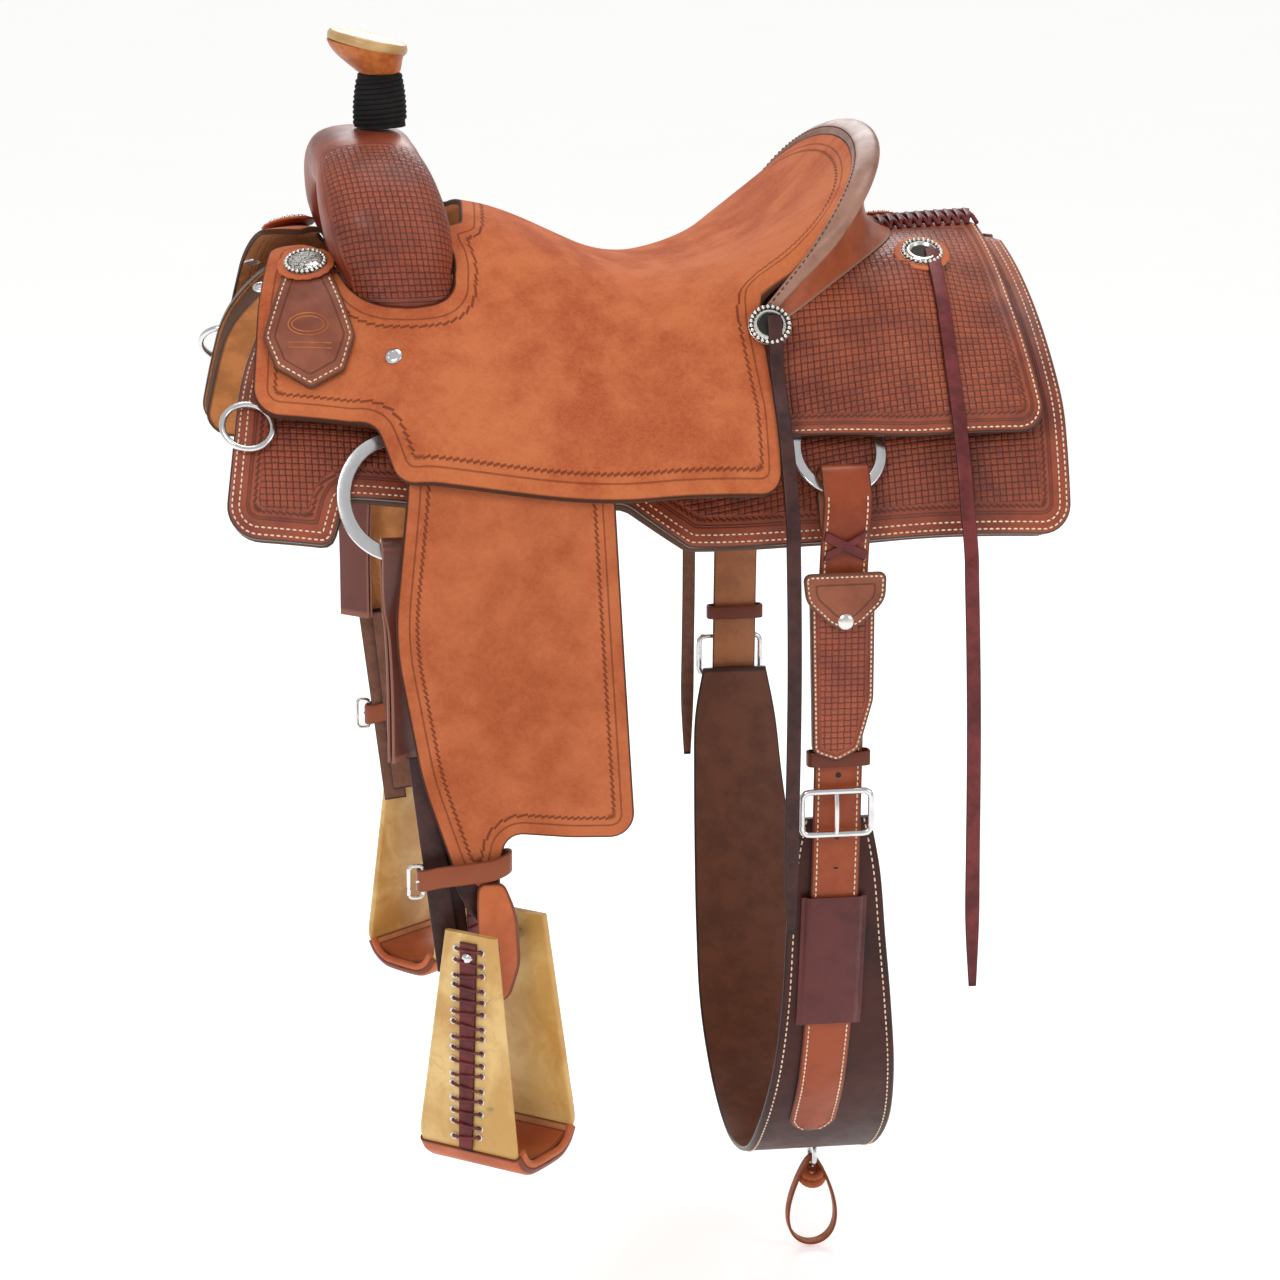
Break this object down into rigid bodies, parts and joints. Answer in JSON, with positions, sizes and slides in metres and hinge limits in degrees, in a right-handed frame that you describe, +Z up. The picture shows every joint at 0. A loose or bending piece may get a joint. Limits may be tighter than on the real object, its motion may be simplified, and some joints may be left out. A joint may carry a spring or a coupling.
{
  "type": "western saddle",
  "caption": "Western roping saddle with rough-out seat and fenders, tooled skirts, wrapped horn, stirrups and a flank cinch.",
  "frame": {"origin": "top of the horse's back under the seat, on the centre line: the ridge of the back where the lining's underside would meet it at X = 0", "axes": "+X to the rear (cantle), -X to the front (horn), -Y to the near (left) side, +Z up"},
  "size_m": [0.7222, 0.6592, 1.1526],
  "materials": {
    "rough_out": "rough-out, matt",
    "tooled": "tooled and oiled, satin",
    "bridle": "smooth, satin",
    "latigo": "oil-tanned, dull",
    "lining": "clipped wool",
    "rawhide": "hard rawhide, semi-gloss",
    "wood": "bare",
    "wrap": "matt strip",
    "roll": "burnished",
    "silver": "polished"
  },
  "bodies": {
    "saddle": {"near_skirt": "tooled", "near_lining": "lining", "near_rear_jockey": "tooled", "near_keeper": "tooled", "near_rigging_strap": "bridle", "near_tree_bar": "wood", "near_front_concho": "silver", "near_seat_concho": "silver", "near_rear_concho": "silver", "near_front_ring": "silver", "near_rear_ring": "silver", "off_skirt": "tooled", "off_lining": "lining", "off_rear_jockey": "tooled", "off_keeper": "tooled", "off_rigging_strap": "bridle", "off_tree_bar": "wood", "off_front_concho": "silver", "off_seat_concho": "silver", "off_rear_concho": "silver", "off_front_ring": "silver", "off_rear_ring": "silver", "fork": "wood", "swell_cover": "tooled", "horn": "wood", "horn_wrap": "wrap", "horn_cap": "rawhide", "seat": "rough_out", "cantle_board": "wood", "cantle_binding": "roll", "cantle_cover": "bridle"},
    "near_leg": {"near_fender": "rough_out", "near_stirrup_leather": "bridle", "near_hobble_strap": "bridle"},
    "near_stirrup_body": {"near_stirrup": "rawhide", "near_stirrup_tread": "bridle"},
    "near_seat_tie": {"near_seat_string": "latigo"},
    "near_rear_tie": {"near_rear_string": "latigo"},
    "near_dee": {"near_breast_dee": "silver"},
    "off_leg": {"off_fender": "rough_out", "off_stirrup_leather": "bridle", "off_hobble_strap": "bridle"},
    "off_stirrup_body": {"off_stirrup": "rawhide", "off_stirrup_tread": "bridle"},
    "off_seat_tie": {"off_seat_string": "latigo"},
    "off_rear_tie": {"off_rear_string": "latigo"},
    "off_dee": {"off_breast_dee": "silver"},
    "front_latigo": {"latigo": "latigo"},
    "front_billet": {"off_billet": "latigo"},
    "flank_rig": {"near_flank_billet": "bridle", "near_flank_buckle": "silver", "off_flank_billet": "bridle", "off_flank_buckle": "silver", "flank_cinch": "latigo", "knife_sheath": "tooled"},
    "flap": {"sheath_flap": "tooled"},
    "cinch_ring": {"cinch_dee": "silver"},
    "connector": {"connector_strap": "bridle"}
  },
  "joints": [
    {"name": "near_leg_swing", "type": "hinge", "parent": "saddle", "child": "near_leg", "pos_m": [-0.112, -0.2677, -0.131], "axis": [-1, 0, 0], "range_deg": [0, 60]},
    {"name": "near_stirrup_swing", "type": "hinge", "parent": "near_leg", "child": "near_stirrup_body", "pos_m": [-0.124, -0.2625, -0.497], "axis": [0.6428, 0.766, 0], "range_deg": [-25, 25]},
    {"name": "near_seat_tie_swing", "type": "hinge", "parent": "saddle", "child": "near_seat_tie", "pos_m": [0.127, -0.1905, -0.0105], "axis": [-1, 0, 0], "range_deg": [0, 45]},
    {"name": "near_rear_tie_swing", "type": "hinge", "parent": "saddle", "child": "near_rear_tie", "pos_m": [0.28, -0.1245, 0.046], "axis": [-1, 0, 0], "range_deg": [0, 45]},
    {"name": "near_dee_flip", "type": "hinge", "parent": "saddle", "child": "near_dee", "pos_m": [-0.321, -0.1852, -0.039], "axis": [-1, 0, 0], "range_deg": [0, 18]},
    {"name": "off_leg_swing", "type": "hinge", "parent": "saddle", "child": "off_leg", "pos_m": [-0.112, 0.2677, -0.131], "axis": [1, 0, 0], "range_deg": [0, 60]},
    {"name": "off_stirrup_swing", "type": "hinge", "parent": "off_leg", "child": "off_stirrup_body", "pos_m": [-0.124, 0.2625, -0.497], "axis": [0.6428, -0.766, 0], "range_deg": [-25, 25]},
    {"name": "off_seat_tie_swing", "type": "hinge", "parent": "saddle", "child": "off_seat_tie", "pos_m": [0.127, 0.1905, -0.0105], "axis": [1, 0, 0], "range_deg": [0, 45]},
    {"name": "off_rear_tie_swing", "type": "hinge", "parent": "saddle", "child": "off_rear_tie", "pos_m": [0.28, 0.1245, 0.046], "axis": [1, 0, 0], "range_deg": [0, 45]},
    {"name": "off_dee_flip", "type": "hinge", "parent": "saddle", "child": "off_dee", "pos_m": [-0.321, 0.1852, -0.039], "axis": [1, 0, 0], "range_deg": [0, 18]},
    {"name": "latigo_swing", "type": "hinge", "parent": "saddle", "child": "front_latigo", "pos_m": [-0.199, -0.2492, -0.1553], "axis": [1, 0, 0], "range_deg": [0, 30]},
    {"name": "billet_swing", "type": "hinge", "parent": "saddle", "child": "front_billet", "pos_m": [-0.199, 0.2492, -0.1553], "axis": [-1, 0, 0], "range_deg": [0, 30]},
    {"name": "flank_swing", "type": "hinge", "parent": "saddle", "child": "flank_rig", "pos_m": [0.177, 0, -0.0873], "axis": [0, 1, 0], "range_deg": [-12, 0]},
    {"name": "flap_open", "type": "hinge", "parent": "flank_rig", "child": "flap", "pos_m": [0.172, -0.2714, -0.18], "axis": [-1, 0, 0], "range_deg": [0, 110]},
    {"name": "cinch_ring_swing", "type": "hinge", "parent": "flank_rig", "child": "cinch_ring", "pos_m": [0.203, 0, -0.793], "axis": [1, 0, 0], "range_deg": [-30, 30]},
    {"name": "connector_swing", "type": "hinge", "parent": "cinch_ring", "child": "connector", "pos_m": [0.203, 0, -0.82], "axis": [0, 1, 0], "range_deg": [-30, 30]}
  ]
}
